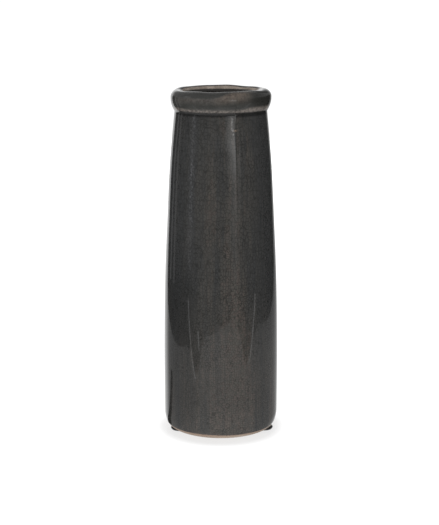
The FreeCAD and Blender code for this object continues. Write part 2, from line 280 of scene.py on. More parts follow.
def lathe(name, rings, closed, centre=(0.0, 0.0)):
    """Skin rings of equal length into one closed mesh.

    rings holds, for each step along the profile, a function of the turn giving (radius, height).
    A profile that isn't closed starts and ends on the axis, and those ends are single points.
    """
    verts, faces, starts = [], [], []
    for index, ring in enumerate(rings):
        starts.append(len(verts))
        on_axis = not closed and index in (0, len(rings) - 1)
        for turn in TURNS[:1] if on_axis else TURNS:
            radius, height = ring(turn)
            verts.append((centre[0] + radius * math.cos(turn), centre[1] + radius * math.sin(turn), height))
    pairs = list(zip(range(len(rings)), range(1, len(rings))))
    if closed:
        pairs.append((len(rings) - 1, 0))
    for low, high in pairs:
        low_single = not closed and low == 0
        high_single = not closed and high == len(rings) - 1
        for step in range(len(TURNS)):
            after = (step + 1) % len(TURNS)
            a, b = starts[low] + step, starts[low] + after
            c, d = starts[high] + after, starts[high] + step
            if low_single:
                faces.append((starts[low], c, d))
            elif high_single:
                faces.append((a, b, starts[high]))
            else:
                faces.append((a, b, c, d))
    return make_mesh(name, verts, faces)


def outward(points):
    """Unit normals of a profile, on its right-hand side when walked from first to last point."""
    normals = []
    for index in range(len(points)):
        before, after = points[max(0, index - 1)], points[min(len(points) - 1, index + 1)]
        along = (after[0] - before[0], after[1] - before[1])
        length = math.hypot(*along)
        normals.append((along[1] / length, -along[0] / length))
    return normals


def waved(points, wave, extra=None):
    """Rings for a profile whose points move along their normals by a wave of turn and height."""
    rings = []
    for (radius, height), normal in zip(points, outward(points)):
        def ring(turn, radius=radius, height=height, normal=normal):
            shift = wave(turn, height) + (extra(turn, height) if extra else 0.0)
            return radius + normal[0] * shift, height + normal[1] * shift + lip_lift(turn, height)
        rings.append(ring)
    return rings


def inside_rings(points):
    """Rings for the cavity, where the throwing rings stand in from the wall."""
    def wave(turn, height):
        near_lip = smooth_step(356 * MM, 373 * MM, height)
        return inside_wave(turn, height) + near_lip * outside_wave(turn, height)
    return waved(points, wave)


def coat_thickness(above):
    """Thickness of the outer glaze at a distance above its lower edge: a round bead, then even."""
    bead = 0.62 * MM
    edge = 0.6 * MM
    even_from = 6 * MM
    if above < edge:
        return bead * math.sqrt(max(0.0, 1 - (1 - above / edge)**2))
    return COAT + (bead - COAT) * (1 - smooth_step(edge, even_from, above))


def make_outer_glaze():
    """The outer coat, from its bead above the foot to the mouth, as a closed shell."""
    overlap = 0.03 * MM
    # Steps up the heel out of heel_span, close together round the bead.
    heel_steps = (0, 0.04, 0.12, 0.24, 0.4, 0.6, 1.0, 1.6, 2.4, 3.4, 4.6, 6.0, 7.6, 9.4, 11.2)
    heel_span = 12.0

    def heel_ring(part, outer):
        def ring(turn):
            low = line_height(turn)
            height = low + (STRAIGHT_LOW - low) * part
            thick = coat_thickness(height - low) if outer else -overlap
            wave = outside_wave(turn, height) + (seam_ridge(turn, height) * part if outer else 0.0)
            return heel_radius(height, COAT) + thick + wave, height
        return ring

    outer = [heel_ring(step / heel_span, True) for step in heel_steps]
    outer += waved(upper_outside(0.0, SHOWN_ROWS), outside_wave, seam_ridge)
    inner = [heel_ring(step / heel_span, False) for step in heel_steps[1:]]
    inner += waved(upper_outside(COAT + overlap, HIDDEN_ROWS), outside_wave)
    return lathe("outer_glaze_coat", outer + inner[::-1], closed=True)


def make_liner_glaze():
    """The inner coat, from the mouth down the wall and across the floor."""
    open_side = inside_rings(cavity(0.0))
    clay_side = inside_rings(cavity(COAT))
    return lathe("liner_glaze_coat", clay_side[::-1] + open_side, closed=False)


def make_clay():
    """The fired clay: foot ring, hollow underside, wall, lip and cavity in one closed solid."""
    foot_reach = HEEL_ROUND - COAT - FOOT_ROUND
    foot_drop = STRAIGHT_LOW - FOOT - FOOT_ROUND
    foot_centre = (HEEL_CENTRE[0] + math.sqrt(foot_reach**2 - foot_drop**2), FOOT + FOOT_ROUND)
    foot_turn = toward(HEEL_CENTRE, foot_centre)
    hollow = FOOT + RECESS_DEPTH
    under = chain(
        run((0, hollow), (RECESS_RADIUS - RECESS_DEPTH, hollow), 20),
        run((RECESS_RADIUS - RECESS_DEPTH, hollow), (RECESS_RADIUS, FOOT), 4),
        run((RECESS_RADIUS, FOOT), (foot_centre[0], FOOT), 14),
        arc(foot_centre, FOOT_ROUND, -math.pi / 2, foot_turn, 12),
        arc(HEEL_CENTRE, HEEL_ROUND - COAT, foot_turn, 0, 14),
    )
    rings = waved(under, outside_wave)[:-1]
    rings += waved(upper_outside(COAT, HIDDEN_ROWS), outside_wave)[:-1]
    rings += inside_rings(cavity(COAT))
    return lathe("stoneware_clay", rings, closed=False)


def disc_profile(radius, low, high, low_round, high_round, sag, bulge):
    """Half section of a round-edged disc, from the middle of its underside to the middle of its top."""
    inner = radius * 0.7
    inner_height = low + sag * 0.4
    side_steps = 8
    upright = run((radius, low + low_round), (radius, high - high_round), side_steps)
    side = [(radius + bulge * math.sin(math.pi * step / side_steps), height)
            for step, (_, height) in enumerate(upright)]
    return chain(
        run((0, low + sag), (inner, inner_height), 8),
        run((inner, inner_height), (radius - low_round, low), 4),
        arc((radius - low_round, low + low_round), low_round, -math.pi / 2, 0, 8),
        side,
        arc((radius - high_round, high - high_round), high_round, 0, math.pi / 2, 5),
        run((radius - high_round, high), (0, high), 8),
    )


def make_disc(name, node, low_round, high_round, sag, bulge, edge_wave):
    """A round-edged disc in the space of a CAD node. Its rim is slightly uneven and may bulge under load."""
    low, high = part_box(node)
    radius = (high[0] - low[0]) / 2
    centre = ((low[0] + high[0]) / 2, (low[1] + high[1]) / 2)
    phase = sum(ord(letter) for letter in name)
    wave_peak = edge_wave * 1.6
    rings = []
    for reach, height in disc_profile(radius, low[2], high[2], low_round, high_round, sag, bulge):
        def ring(turn, reach=reach, height=height):
            wave = edge_wave * (math.sin(3 * turn + phase) + 0.6 * math.sin(7 * turn + 2 * phase))
            return reach * (1 - (wave_peak - wave) / radius), height
        rings.append(ring)
    return lathe(name, rings, closed=False, centre=centre)


# --- Materials ---
class Graph:
    """Short calls for building one node tree."""

    def __init__(self, tree):
        self.tree = tree

    def node(self, kind, **settings):
        made = self.tree.nodes.new(kind)
        for name, value in settings.items():
            setattr(made, name, value)
        return made

    def feed(self, socket, value):
        """Link an output to a socket, or set the socket to a plain value."""
        if hasattr(value, "is_output"):
            self.tree.links.new(value, socket)
        else:
            socket.default_value = value

    def math(self, operation, first, second=0.0):
        made = self.node("ShaderNodeMath", operation=operation)
        self.feed(made.inputs[0], first)
        self.feed(made.inputs[1], second)
        return made.outputs[0]

    def blend(self, factor, first, second):
        """The first colour where factor is 0, the second where it is 1. A Mix node's colours are 6 and 7."""
        made = self.node("ShaderNodeMix", data_type="RGBA")
        self.feed(made.inputs[0], factor)
        self.feed(made.inputs[6], first)
        self.feed(made.inputs[7], second)
        return made.outputs[2]

    def pick(self, choice, first, second):
        """The first number where choice is 0, the second where it is 1. A Mix node's numbers are 2 and 3."""
        made = self.node("ShaderNodeMix", data_type="FLOAT")
        self.feed(made.inputs[0], choice)
        self.feed(made.inputs[2], first)
        self.feed(made.inputs[3], second)
        return made.outputs[0]

    def step(self, value, low, high, to_low=0.0, to_high=1.0):
        """A smooth step from to_low, where value is low, to to_high, where it is high."""
        made = self.node("ShaderNodeMapRange", interpolation_type="SMOOTHSTEP")
        for index, item in enumerate((value, low, high, to_low, to_high)):
            self.feed(made.inputs[index], item)
        return made.outputs[0]

    def noise(self, vector, scale, detail=2.0, rough=0.5):
        """Cloudy noise around 0.5, with about scale features to the metre."""
        made = self.node("ShaderNodeTexNoise")
        self.feed(made.inputs["Vector"], vector)
        made.inputs["Scale"].default_value = scale
        made.inputs["Detail"].default_value = detail
        made.inputs["Roughness"].default_value = rough
        return made.outputs[0]

    def edges(self, vector, scale, randomness=1.0):
        """Distance to the nearest wall of a net of cells."""
        made = self.node("ShaderNodeTexVoronoi", feature="DISTANCE_TO_EDGE")
        self.feed(made.inputs["Vector"], vector)
        made.inputs["Scale"].default_value = scale
        made.inputs["Randomness"].default_value = randomness
        return made.outputs["Distance"]

    def cells(self, vector, scale):
        """A colour of its own for each cell of a net."""
        made = self.node("ShaderNodeTexVoronoi", feature="F1")
        self.feed(made.inputs["Vector"], vector)
        made.inputs["Scale"].default_value = scale
        return made.outputs["Color"]

    def place(self, scale=(1.0, 1.0, 1.0), shift=(0.0, 0.0, 0.0)):
        """Object coordinates in metres, stretched and shifted."""
        coords = self.node("ShaderNodeTexCoord")
        made = self.node("ShaderNodeMapping")
        self.feed(made.inputs["Vector"], coords.outputs["Object"])
        made.inputs["Scale"].default_value = scale
        made.inputs["Location"].default_value = shift
        return made.outputs[0]

    def axes(self):
        """Object coordinates x, y and z in metres."""
        made = self.node("ShaderNodeSeparateXYZ")
        self.feed(made.inputs[0], self.place())
        return made.outputs

    def bump(self, height, distance, base=None):
        """A normal bent by a height of 0 to 1 over a distance in metres, on top of a base normal."""
        made = self.node("ShaderNodeBump")
        made.inputs["Strength"].default_value = 1.0
        made.inputs["Distance"].default_value = distance
        self.feed(made.inputs["Height"], height)
        if base is not None:
            self.feed(made.inputs["Normal"], base)
        return made.outputs[0]

    def add(self, *values):
        """Sum of sockets and numbers."""
        total = values[0]
        for value in values[1:]:
            total = self.math("ADD", total, value)
        return total

    def times(self, *values):
        """Product of sockets and numbers."""
        total = values[0]
        for value in values[1:]:
            total = self.math("MULTIPLY", total, value)
        return total

    def most(self, *values):
        """The largest of some sockets and numbers."""
        largest = values[0]
        for value in values[1:]:
            largest = self.math("MAXIMUM", largest, value)
        return largest

    def centred(self, value):
        """Noise brought from around 0.5 to around 0."""
        return self.math("SUBTRACT", value, 0.5)

    def length(self, across, along):
        """Length of a flat vector; of x and y, the distance from the vase's axis."""
        return self.math("SQRT", self.add(self.times(across, across), self.times(along, along)))

    def scaled(self, colour, factor):
        """A colour with every channel multiplied by a factor."""
        made = self.node("ShaderNodeVectorMath", operation="SCALE")
        self.feed(made.inputs[0], colour)
        self.feed(made.inputs["Scale"], factor)
        return made.outputs[0]


def new_material(name, roughness, ior=1.5):
    """A material with its graph and its shader, given one roughness and index of refraction."""
    material = bpy.data.materials.new(name)
    material.use_nodes = True
    graph = Graph(material.node_tree)
    shader = material.node_tree.nodes["Principled BSDF"]
    shader.inputs["Roughness"].default_value = roughness
    shader.inputs["IOR"].default_value = ior
    return material, graph, shader


def rgb(red, green, blue):
    return (red, green, blue, 1.0)


def crackle(graph, cell, width, drift):
    """Lines of a crackle net, 1 in a crack and 0 in the cells, and the place each cell is drawn at.

    cell is a cell's size and width a crack's. drift is how far the lines wander. Cells grow up the wall.
    """
    _, _, z = graph.axes()
    grown = graph.scaled(graph.place(), graph.step(z, 0.0, TOP, 1.22, 0.88))
    bend = graph.node("ShaderNodeTexNoise")
    bend.inputs["Scale"].default_value = 240
    bend.inputs["Detail"].default_value = 1
    graph.feed(bend.inputs["Vector"], graph.place())
    shifted = graph.node("ShaderNodeVectorMath", operation="MULTIPLY_ADD")
    graph.feed(shifted.inputs[0], bend.outputs[1])
    shifted.inputs[1].default_value = (drift, drift, drift)
    graph.feed(shifted.inputs[2], grown)
    evenness = 0.72
    distance = graph.edges(shifted.outputs[0], 1 / cell, evenness)
    half = width / (2 * cell)
    return graph.step(distance, half * 0.5, half * 1.5, 1.0, 0.0), shifted.outputs[0]


def wall_colour(graph, streaks, clouds, rosiness):
    """Grey, going brown in soft streaks on the shown side, the back and the lower part, with rosy cells."""
    grey = rgb(0.0335, 0.0340, 0.0344)
    brown = rgb(0.0560, 0.0525, 0.0470)
    rose = rgb(0.0760, 0.0585, 0.0530)
    x, y, z = graph.axes()
    aside = graph.times(x, 1 / BELLY)
    hairs = graph.noise(graph.place((1, 1, 0.035)), 420, 2, 0.6)
    uneven = graph.add(
        graph.times(graph.centred(streaks), 1.9),
        graph.times(graph.centred(clouds), 0.8),
        graph.times(graph.centred(hairs), 1.1),
    )
    shown_side = graph.times(
        graph.step(aside, -0.72, 0.05),
        graph.step(aside, 0.85, 0.22),
        graph.step(y, 0.0, -8 * MM),
    )
    back = graph.times(graph.step(y, 8 * MM, 40 * MM), graph.step(clouds, 0.35, 0.65, 0.5, 1.0))
    browned = graph.most(shown_side, back)
    low_part = graph.step(z, 200 * MM, 30 * MM)
    warm = graph.add(
        graph.times(uneven, graph.most(graph.step(browned, 0.0, 1.0, 0.35, 1.0), low_part)),
        graph.times(browned, 0.42),
        graph.times(low_part, 0.40),
        0.02,
    )
    warm = graph.most(graph.math("MINIMUM", warm, 1.0), 0.0)
    rosy = graph.times(graph.step(rosiness, 0.2, 0.9), graph.step(warm, 0.3, 0.9), 0.42)
    return graph.blend(rosy, graph.blend(warm, grey, brown), rose)


def tan_fleck(graph, turn, grain):
    """Share of the one tan fleck, which sits on the front joint line below the neck."""
    fleck_turn = SEAM_TURN - math.radians(0.4)
    fleck_height = 340.6 * MM
    half_height = 1.4 * MM
    half_turn = 0.05
    _, _, z = graph.axes()
    across = graph.times(graph.add(turn, -fleck_turn), 1 / half_turn)
    along = graph.times(graph.add(z, -fleck_height), 1 / half_height)
    off_fleck = graph.length(across, along)
    return graph.times(graph.step(off_fleck, 1.5, 0.3), graph.step(grain, 0.35, 0.6))


def lip_face_colour(graph, lip_runs, flecks):
    """The lip's face: grey, darker at the right, with a run of thin glaze under a slanting line.

    The run is greyish at the left and brown at the right and behind, and dark flecks lie over it.
    """
    grey, dark_grey = rgb(0.034, 0.034, 0.032), rgb(0.022, 0.022, 0.020)
    run_grey, run_brown = rgb(0.074, 0.070, 0.065), rgb(0.114, 0.094, 0.077)
    fleck_grey, fleck_brown = rgb(0.044, 0.037, 0.034), rgb(0.068, 0.051, 0.045)
    x, y, z = graph.axes()
    lip_clouds = graph.noise(graph.place((1, 1, 1.2), (0.02, 0.01, 0.0)), 34, 3, 0.6)
    run_line = graph.step(x, -8 * MM, 14 * MM, 373.5 * MM, 379.5 * MM)
    above_line = graph.add(z, graph.times(run_line, -1.0), graph.times(lip_clouds, 5 * MM), -2.5 * MM)
    run_length = graph.step(x, -12 * MM, 12 * MM, 9.0 * MM, 14.0 * MM)
    front_run = graph.times(
        graph.step(above_line, 2.0 * MM, -1.0 * MM),
        graph.step(graph.times(above_line, -1.0), run_length, 0.5 * MM),
        graph.step(y, -22 * MM, -34 * MM),
        graph.step(x, 36 * MM, 22 * MM),
        graph.step(lip_runs, 0.28, 0.66, 0.62, 1.10),
    )
    other_runs = graph.times(graph.step(lip_clouds, 0.48, 0.68), graph.step(y, -30 * MM, -10 * MM), 0.7)
    runs = graph.math("MINIMUM", graph.add(front_run, other_runs), 1.0)
    brown_side = graph.most(graph.step(x, -14 * MM, 14 * MM), graph.step(y, -20 * MM, 0.0))
    run_tint = graph.blend(brown_side, run_grey, run_brown)
    fleck_tint = graph.blend(brown_side, fleck_grey, fleck_brown)
    fleck_share = graph.times(flecks, graph.pick(brown_side, 0.70, 0.75))
    face = graph.blend(graph.step(x, 26 * MM, 40 * MM), grey, dark_grey)
    return graph.blend(runs, face, graph.blend(fleck_share, run_tint, fleck_tint))


def with_lip(graph, wall, lip, streaks):
    """The wall's colour with the lip's over it: face, underside with painted floor light, thin mouth edge,
    painted shade deeper in the mouth and a dark crease of painted shade and pooled glaze.
    """
    underside_light_dim, underside_light_bright = rgb(0.098, 0.090, 0.082), rgb(0.178, 0.154, 0.136)
    band_fleck = rgb(0.050, 0.043, 0.039)
    edge_dark, edge_pale = rgb(0.235, 0.196, 0.162), rgb(0.385, 0.328, 0.278)
    x, y, z = graph.axes()
    lip_runs = graph.noise(graph.place((1, 1, 0.45)), 170, 3, 0.65)
    flecks = graph.step(graph.noise(graph.place(), 430, 2, 0.7), 0.46, 0.64)
    colour = graph.blend(lip, wall, lip_face_colour(graph, lip_runs, flecks))

    lifted = graph.math("SUBTRACT", z, graph.step(x, 20 * MM, 34 * MM, 0.0, 2.2 * MM))
    # Painted light: the lip's underside is made pale, as if lit from the floor below.
    lit_underside = graph.times(
        lip,
        graph.step(lifted, 363.6 * MM, 359.8 * MM),
        graph.step(lifted, 354.6 * MM, 356.6 * MM),
    )
    underside_light_tint = graph.blend(graph.step(lip_runs, 0.3, 0.7), underside_light_dim, underside_light_bright)
    underside_light_tint = graph.blend(graph.times(flecks, 0.85), underside_light_tint, band_fleck)
    colour = graph.blend(graph.times(lit_underside, 0.95), colour, underside_light_tint)

    throat = graph.times(graph.step(graph.length(x, y), 42.9 * MM, 42.0 * MM), lip)
    colour = graph.blend(throat, colour, graph.blend(graph.step(streaks, 0.3, 0.7), edge_dark, edge_pale))
    # Painted shade: the mouth's inside goes nearly black below its top few millimetres.
    painted_throat_shade = graph.times(graph.step(z, 377.4 * MM, 376.1 * MM), throat)
    colour = graph.blend(painted_throat_shade, colour, rgb(0.026, 0.024, 0.022))

    # Painted shade in the crease under the lip, together with glaze pooled there.
    crease_shade_and_pool = graph.times(graph.step(z, 352.8 * MM, 356.0 * MM), graph.step(z, 360.2 * MM, 358.4 * MM))
    return graph.blend(graph.times(crease_shade_and_pool, 0.75), colour, rgb(0.008, 0.008, 0.008))


def tone_with_painted_light(graph, lip, cell_shade, grain):
    """Brightness of the glaze by cell and grain, with painted shade low at the left and under the lip and
    painted light at the heel.
    """
    x, _, z = graph.axes()
    aside = graph.times(x, 1 / BELLY)
    fine = graph.add(graph.times(cell_shade, 0.16), graph.times(grain, 0.50), 0.70)
    # Painted shade: darker low on the left side.
    painted_shade_low_left = graph.times(graph.step(aside, -0.30, -0.62), graph.step(z, 235 * MM, 150 * MM))
    # Painted shade: darker on the wall just under the lip, fading out towards the right.
    painted_shade_under_lip = graph.times(
        graph.step(z, 334 * MM, 350 * MM),
        graph.step(lip, 0.5, 0.0),
        graph.step(x, 26 * MM, 8 * MM),
    )
    # Painted light: the heel is paler near the front and back.
    off_middle = graph.math("ABSOLUTE", aside)
    heel = graph.times(graph.step(z, 48 * MM, 14 * MM), graph.step(off_middle, 0.95, 0.55))
    painted_light_and_shade = graph.add(
        1.0,
        graph.times(painted_shade_low_left, -0.26),
        graph.times(painted_shade_under_lip, -0.08),
        graph.times(heel, 0.27),
    )
    return graph.times(fine, painted_light_and_shade)


def crack_share(graph, lip, cracks):
    """How dark the cracks show: patchy, fainter on the lip, with a few long ones across the fine net."""
    _, _, z = graph.axes()
    long_cracks, _ = crackle(graph, 13 * MM, 0.30 * MM, 2.0 * MM)
    patches = graph.step(graph.noise(graph.place(), 40, 2, 0.6), 0.25, 0.6, 0.55, 1.0)
    fade = graph.times(patches, graph.step(lip, 0.0, 1.0, 1.0, 0.35))
    depth = graph.step(z, 60 * MM, 300 * MM, 0.62, 0.46)
    return graph.times(graph.most(graph.times(cracks, depth), graph.times(long_cracks, 0.5)), fade)


def pitted_line(graph, turn, clouds):
    """Share of the pale line of small pits that runs up the left of the shown side, in a faint haze."""
    _, _, z = graph.axes()
    wander = graph.times(graph.centred(clouds), math.radians(3.0))
    off_line = graph.math("ABSOLUTE", graph.add(turn, wander, -PITTED_TURN))
    pits = graph.noise(graph.place((1, 1, 0.75)), 560, 2, 0.6)
    broken = graph.step(graph.noise(graph.place((1, 1, 0.5)), 110), 0.38, 0.60, 0.25, 1.0)
    close = graph.step(off_line, math.radians(2.6), math.radians(0.6))
    near = graph.step(off_line, math.radians(6), math.radians(1.5))
    on_line = graph.times(close, graph.step(pits, 0.44, 0.62), broken)
    near_line = graph.times(near, graph.step(pits, 0.56, 0.70), 0.7)
    haze = graph.step(off_line, math.radians(7), math.radians(0.5), 0.0, 0.13)
    ends = graph.times(graph.step(z, 165 * MM, 240 * MM), graph.step(z, 358 * MM, 350 * MM))
    return graph.times(graph.most(on_line, near_line, haze), ends)


def glaze_material():
    """Dark warm-grey crackle glaze with brown runs, breaking brown over the lip."""
    material, graph, shader = new_material("crackle_glaze", 0.03, 1.52)
    x, y, z = graph.axes()
    turn = graph.math("ARCTAN2", y, x)
    lip = graph.step(z, 357.5 * MM, 360.0 * MM)
    streaks = graph.noise(graph.place((1, 1, 0.05)), 95, 3, 0.6)
    clouds = graph.noise(graph.place((1, 1, 0.4)), 20, 3, 0.55)
    grain = graph.noise(graph.place(), 900, 2, 0.7)
    cell_size = 3.0 * MM
    cracks, drifted = crackle(graph, cell_size, 0.36 * MM, 0.5 * MM)
    cell = graph.node("ShaderNodeSeparateColor")
    graph.feed(cell.inputs[0], graph.cells(drifted, 1 / cell_size))
    cell_shade, rosiness = cell.outputs[0], cell.outputs[1]

    colour = wall_colour(graph, streaks, clouds, rosiness)
    colour = graph.blend(tan_fleck(graph, turn, grain), colour, rgb(0.150, 0.118, 0.092))
    # The lip brings painted floor light under it and painted shade in its crease and mouth.
    colour = with_lip(graph, colour, lip, streaks)
    colour = graph.scaled(colour, tone_with_painted_light(graph, lip, cell_shade, grain))
    colour = graph.blend(crack_share(graph, lip, cracks), colour, rgb(0.0085, 0.0090, 0.0080))
    pitted = pitted_line(graph, turn, clouds)
    colour = graph.blend(graph.times(pitted, 0.50), colour, rgb(0.140, 0.140, 0.148))
    graph.feed(shader.inputs["Base Color"], colour)
    graph.feed(shader.inputs["Roughness"], graph.step(clouds, 0.3, 0.75, 0.018, 0.045))

    ripple = graph.noise(graph.place((1, 1, 0.45)), 62, 2, 0.5)
    pool = graph.noise(graph.place((1, 1, 0.25)), 190, 2, 0.5)
    normal = graph.bump(ripple, 0.08 * MM)
    normal = graph.bump(pool, 0.015 * MM, base=normal)
    normal = graph.bump(pitted, 0.03 * MM, base=normal)
    normal = graph.bump(graph.math("SUBTRACT", 1.0, cracks), 0.004 * MM, base=normal)
    graph.feed(shader.inputs["Normal"], normal)
    return material


def liner_material():
    """Brown-taupe inner glaze with throwing streaks, dark in the throat's shade and pooled on the floor."""
    dark_taupe, pale_taupe = rgb(0.058, 0.048, 0.040), rgb(0.094, 0.077, 0.063)
    grey_taupe, crack_brown = rgb(0.060, 0.058, 0.056), rgb(0.014, 0.011, 0.009)
    shade, pooled = rgb(0.024, 0.022, 0.021), rgb(0.035, 0.034, 0.034)
    material, graph, shader = new_material("liner_glaze", 0.10, 1.52)
    _, _, z = graph.axes()
    rings = graph.noise(graph.place((0.5, 0.5, 1.0)), 120, 3, 0.6)
    clouds = graph.noise(graph.place(), 26, 3, 0.55)
    tint = graph.blend(graph.step(rings, 0.3, 0.7), dark_taupe, pale_taupe)
    tint = graph.blend(graph.times(graph.step(clouds, 0.45, 0.75), 0.5), tint, grey_taupe)
    tint = graph.blend(graph.step(z, 378 * MM, 372 * MM), tint, shade)
    tint = graph.blend(graph.step(z, 20 * MM, 13 * MM), tint, pooled)
    cracks, _ = crackle(graph, 4.0 * MM, 0.40 * MM, 0.9 * MM)
    graph.feed(shader.inputs["Base Color"], graph.blend(graph.times(cracks, 0.7), tint, crack_brown))
    graph.feed(shader.inputs["Roughness"], graph.step(clouds, 0.3, 0.8, 0.08, 0.22))
    normal = graph.bump(rings, 0.10 * MM)
    normal = graph.bump(graph.math("SUBTRACT", 1.0, cracks), 0.01 * MM, base=normal)
    graph.feed(shader.inputs["Normal"], normal)
    return material


def clay_material():
    """Bare tan stoneware: sandy grain, iron specks, a darker flash beside the glaze, turning rings below."""
    dark_tan, pale_tan = rgb(0.318, 0.248, 0.200), rgb(0.424, 0.352, 0.292)
    sand_brown, flash_brown = rgb(0.27, 0.190, 0.142), rgb(0.20, 0.128, 0.090)
    iron = rgb(0.060, 0.032, 0.020)
    ring_spacing = 1.7 * MM
    material, graph, shader = new_material("bare_clay", 0.85)
    x, y, z = graph.axes()
    sand = graph.noise(graph.place(), 1500, 3, 0.7)
    clouds = graph.noise(graph.place(), 45, 3, 0.6)
    tint = graph.blend(graph.step(clouds, 0.3, 0.72), dark_tan, pale_tan)
    tint = graph.blend(graph.times(graph.step(sand, 0.35, 0.7), 0.45), tint, sand_brown)
    speck = graph.node("ShaderNodeTexVoronoi", feature="F1")
    graph.feed(speck.inputs["Vector"], graph.place())
    speck.inputs["Scale"].default_value = 330
    specks = graph.step(speck.outputs["Distance"], 0.10, 0.17, 1.0, 0.0)
    tint = graph.blend(graph.times(specks, 0.8), tint, iron)
    flash = graph.step(z, 6.3 * MM, 7.8 * MM)
    tint = graph.blend(graph.times(flash, 0.55), tint, flash_brown)
    graph.feed(shader.inputs["Base Color"], tint)
    turning = graph.math("SINE", graph.times(graph.length(x, y), math.tau / ring_spacing))
    normal = graph.bump(sand, 0.12 * MM)
    normal = graph.bump(turning, 0.05 * MM, base=normal)
    normal = graph.bump(specks, 0.06 * MM, base=normal)
    graph.feed(shader.inputs["Normal"], normal)
    return material


def rubber_material():
    """Black rubber with a fine moulded grain and a little dust."""
    material, graph, shader = new_material("pad_rubber", 0.5)
    grain = graph.noise(graph.place(), 2600, 2, 0.6)
    dust = graph.noise(graph.place(), 240, 4, 0.7)
    colour = graph.blend(graph.step(dust, 0.5, 0.8), rgb(0.0075, 0.0075, 0.0078), rgb(0.030, 0.029, 0.027))
    graph.feed(shader.inputs["Base Color"], colour)
    graph.feed(shader.inputs["Roughness"], graph.step(dust, 0.4, 0.8, 0.38, 0.62))
    graph.feed(shader.inputs["Normal"], graph.bump(grain, 0.05 * MM))
    return material


def adhesive_material():
    """Milky adhesive film with small trapped bubbles."""
    material, graph, shader = new_material("pad_adhesive", 0.35)
    clouds = graph.noise(graph.place(), 300, 3, 0.6)
    bubbles = graph.edges(graph.place(), 800)
    colour = graph.blend(graph.step(clouds, 0.35, 0.7), rgb(0.42, 0.40, 0.35), rgb(0.58, 0.56, 0.51))
    colour = graph.blend(graph.step(bubbles, 0.0, 0.12, 0.35, 0.0), colour, rgb(0.70, 0.69, 0.65))
    graph.feed(shader.inputs["Base Color"], colour)
    graph.feed(shader.inputs["Normal"], graph.bump(clouds, 0.03 * MM))
    return material


# --- Studio ---
CAMERA_DISTANCE = 1.433
CAMERA_HEIGHT = 0.504
CAMERA_ASIDE = -0.00135
CAMERA_PITCH = math.radians(12.41)
CAMERA_LENS = 90.93
SENSOR = 36.0
WHITE = rgb(1.0, 1.0, 1.0)
BACKDROP_LEFT = (-1.09, 1.50)
BACKDROP_RIGHT = (0.94, 1.50)
BACKDROP_TOP = 1.6
SOFTBOX_LOW = -0.40
JUST_BELOW = -0.0005
JUST_ABOVE = 0.0003


def make_camera():
    data = bpy.data.cameras.new("camera")
    data.lens = CAMERA_LENS
    data.sensor_width = SENSOR
    data.clip_end = 200
    camera = bpy.data.objects.new("camera", data)
    camera.location = (CAMERA_ASIDE, -CAMERA_DISTANCE, CAMERA_HEIGHT)
    camera.rotation_euler = (math.pi / 2 - CAMERA_PITCH, 0, 0)
    bpy.context.scene.collection.objects.link(camera)
    bpy.context.scene.camera = camera


def glow_material(name, glow):
    """Emission of one strength, or of a strength that a function of the graph works out across the card."""
    material = bpy.data.materials.new(name)
    material.use_nodes = True
    material.node_tree.nodes.clear()
    graph = Graph(material.node_tree)
    emission = graph.node("ShaderNodeEmission")
    graph.feed(emission.inputs["Strength"], glow(graph) if callable(glow) else glow)
    out = graph.node("ShaderNodeOutputMaterial")
    graph.feed(out.inputs["Surface"], emission.outputs[0])
    return material


def make_card(name, corners, material):
    """A studio card that only shows as a reflection in glossy surfaces."""
    card = make_mesh(name, corners, [tuple(range(len(corners)))])
    card.data.materials.append(material)
    card.visible_camera = False
    card.visible_diffuse = False
    card.visible_shadow = False
    card.visible_transmission = False
    return card


def level_card(outline, height):
    """Corners of a level card with an outline of (x, y)."""
    return [(x, y, height) for x, y in outline]


def upright_card(start, end, low, high):
    """Corners of an upright card that stands on the line from start to end."""
    return [(*start, low), (*end, low), (*end, high), (*start, high)]


def at_azimuth(azimuth, reach):
    """An (x, y) by azimuth in degrees from the camera's side, counted towards +X."""
    turn = math.radians(azimuth)
    return (math.sin(turn) * reach, -math.cos(turn) * reach)


def ramp(graph, value, stops):
    """A colour ramp read as a grey level, with stops of (place, level)."""
    made = graph.node("ShaderNodeValToRGB")
    elements = made.color_ramp.elements
    while len(elements) < len(stops):
        elements.new(0.5)
    for element, (place, level) in zip(elements, stops):
        element.position = place
        element.color = rgb(level, level, level)
    graph.feed(made.inputs[0], value)
    return made.outputs[0]


def table_glow(graph):
    """Brightness of the table by the direction in which the vase's side looks at it."""
    brightest = 1.2
    x, y, _ = graph.axes()
    reach = graph.length(x, y)
    offset = graph.math("ARCSINE", graph.math("MINIMUM", graph.math("DIVIDE", BELLY, reach), 1.0))
    offset = graph.times(graph.math("SIGN", x), offset, graph.step(y, -0.12, 0.0))
    angle = graph.add(graph.math("ARCTAN2", y, x), offset)
    levels = (
        (-180, 0.40), (-90, 0.42), (-35, 0.40), (0, 0.36), (36, 0.34), (46, 0.38), (59, 0.50),
        (72, 0.78), (90, 1.10), (112, brightest), (127, 1.0), (134, 0.55), (140, 0.33), (180, 0.33),
    )
    stops = [(degrees / 360 + 0.5, level / brightest) for degrees, level in levels]
    glow = ramp(graph, graph.add(graph.times(angle, 1 / math.tau), 0.5), stops)
    far_right = graph.times(graph.step(reach, 0.30, 0.80), graph.step(x, 0.0, 0.1), 0.4)
    return graph.times(glow, graph.math("SUBTRACT", 1.0, far_right), brightest)


def backdrop_glow(graph):
    """Brightness of the backdrop across its width, fading to the right and towards its top."""
    x, _, z = graph.axes()
    return graph.times(graph.step(x, -0.05, 0.80, 1.05, 0.34), graph.step(z, 0.55, 1.00, 1.0, 0.25))


